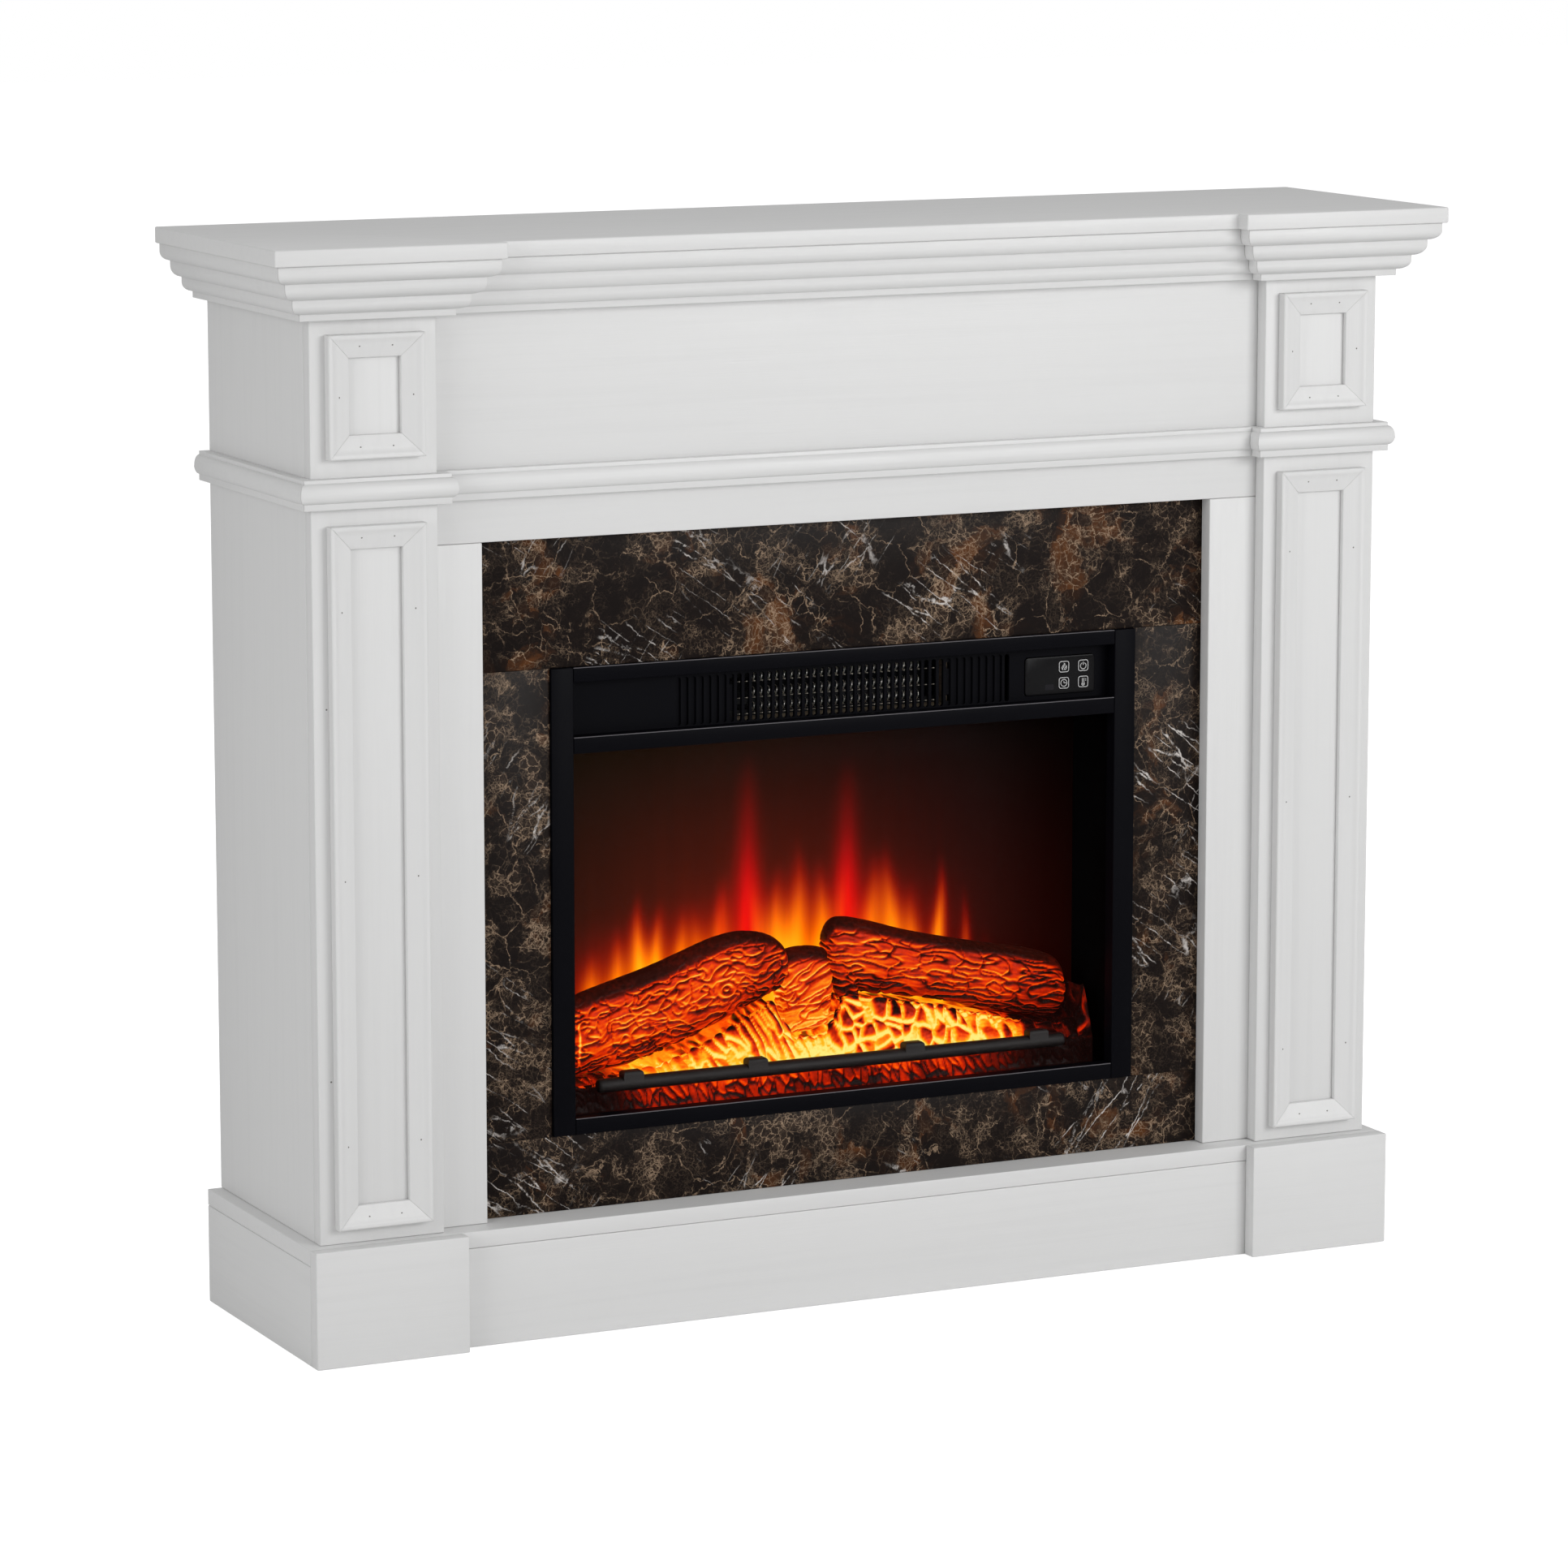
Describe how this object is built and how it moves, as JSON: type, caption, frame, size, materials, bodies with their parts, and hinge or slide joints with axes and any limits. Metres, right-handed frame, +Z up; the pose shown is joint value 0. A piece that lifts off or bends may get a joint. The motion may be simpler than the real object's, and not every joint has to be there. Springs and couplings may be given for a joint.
{
  "type": "electric fireplace",
  "caption": "White mantel surround with stepped shelf, crown, panelled pilasters and dark marble round a black electric insert with glass front, glowing logs, warm air grille and touch keys.",
  "frame": {"origin": "on the floor under the middle of the shelf's outline", "axes": "+Z up, the front faces -Y, the flat back is at +Y, +X is to the right as seen from the front"},
  "size_m": [1.1536, 0.296, 0.98],
  "materials": {
    "white_paint": "white satin paint on wood fibre boards",
    "dark_marble": "polished near-black brown marble with tan patches and pale veins",
    "black_trim": "satin black powder coat",
    "case_sheet": "matt black coated sheet steel",
    "galvanised": "zinc-plated sheet steel",
    "black_plastic": "fine-grained black plastic",
    "gloss_black": "polished black plastic",
    "circuit_board": "green circuit board",
    "mica": "insulating mica board",
    "element_wire": "bright resistance ribbon",
    "aluminium": "plain rolled aluminium",
    "motor_steel": "dull motor steel",
    "clear_glass": "clear tempered glass",
    "screen_plastic": "smoked diffusing plastic that the flame light shines on",
    "log_resin": "translucent moulded resin, lit from below",
    "ember_resin": "translucent amber resin, lit from below",
    "grate_iron": "matt black grate"
  },
  "bodies": {
    "fireplace": {"top_shelf": "white_paint", "crown_left": "white_paint", "crown_centre": "white_paint", "crown_right": "white_paint", "pilaster_left": "white_paint", "pilaster_right": "white_paint", "side_panel_left": "white_paint", "side_panel_right": "white_paint", "header_board": "white_paint", "stile_left": "white_paint", "stile_right": "white_paint", "chair_rail_left": "white_paint", "chair_rail_centre": "white_paint", "chair_rail_right": "white_paint", "panel_frame_upper_left": "white_paint", "panel_frame_upper_right": "white_paint", "panel_frame_lower_left": "white_paint", "panel_frame_lower_right": "white_paint", "base_board": "white_paint", "plinth_front_left": "white_paint", "plinth_front_right": "white_paint", "plinth_front_centre": "white_paint", "plinth_side_left": "white_paint", "plinth_side_right": "white_paint", "back_rail_top": "white_paint", "marble_top": "dark_marble", "marble_bottom": "dark_marble", "marble_left": "dark_marble", "marble_right": "dark_marble", "trim_left": "black_trim", "trim_right": "black_trim", "trim_top": "black_trim", "trim_middle": "black_trim", "trim_bottom": "black_trim", "insert_case": "case_sheet", "insert_bracket_left": "galvanised", "insert_bracket_right": "galvanised", "blower_housing": "galvanised", "vent_panel": "black_plastic", "cord_gland": "black_plastic", "control_panel": "gloss_black", "control_board": "circuit_board", "led_board": "circuit_board", "heater_frame": "mica", "heater_coil": "element_wire", "blower_motor": "motor_steel", "spindle_motor": "motor_steel", "glass_front": "clear_glass", "flame_screen": "screen_plastic", "log_left": "log_resin", "log_middle": "log_resin", "log_right": "log_resin", "ember_bed": "ember_resin", "grate_bar": "grate_iron"},
    "blower_wheel": {"blower_wheel": "aluminium"},
    "flame_spindle": {"flame_spindle": "aluminium"},
    "key_flame": {"key_flame": "gloss_black"},
    "key_power": {"key_power": "gloss_black"},
    "key_timer": {"key_timer": "gloss_black"},
    "key_temperature": {"key_temperature": "gloss_black"}
  },
  "joints": [
    {"name": "blower_spin", "type": "hinge", "parent": "fireplace", "child": "blower_wheel", "pos_m": [0, -0.0085, 0.55863], "axis": [1, 0, 0], "continuous": true},
    {"name": "flame_spin", "type": "hinge", "parent": "fireplace", "child": "flame_spindle", "pos_m": [0, 0.059, 0.2353], "axis": [1, 0, 0], "continuous": true},
    {"name": "flame_press", "type": "slide", "parent": "fireplace", "child": "key_flame", "axis": [0, 1, 0], "range_m": [0, 0.0005], "stiffness_N_per_m": 1500},
    {"name": "power_press", "type": "slide", "parent": "fireplace", "child": "key_power", "axis": [0, 1, 0], "range_m": [0, 0.0005], "stiffness_N_per_m": 1500},
    {"name": "timer_press", "type": "slide", "parent": "fireplace", "child": "key_timer", "axis": [0, 1, 0], "range_m": [0, 0.0005], "stiffness_N_per_m": 1500},
    {"name": "temperature_press", "type": "slide", "parent": "fireplace", "child": "key_temperature", "axis": [0, 1, 0], "range_m": [0, 0.0005], "stiffness_N_per_m": 1500}
  ]
}
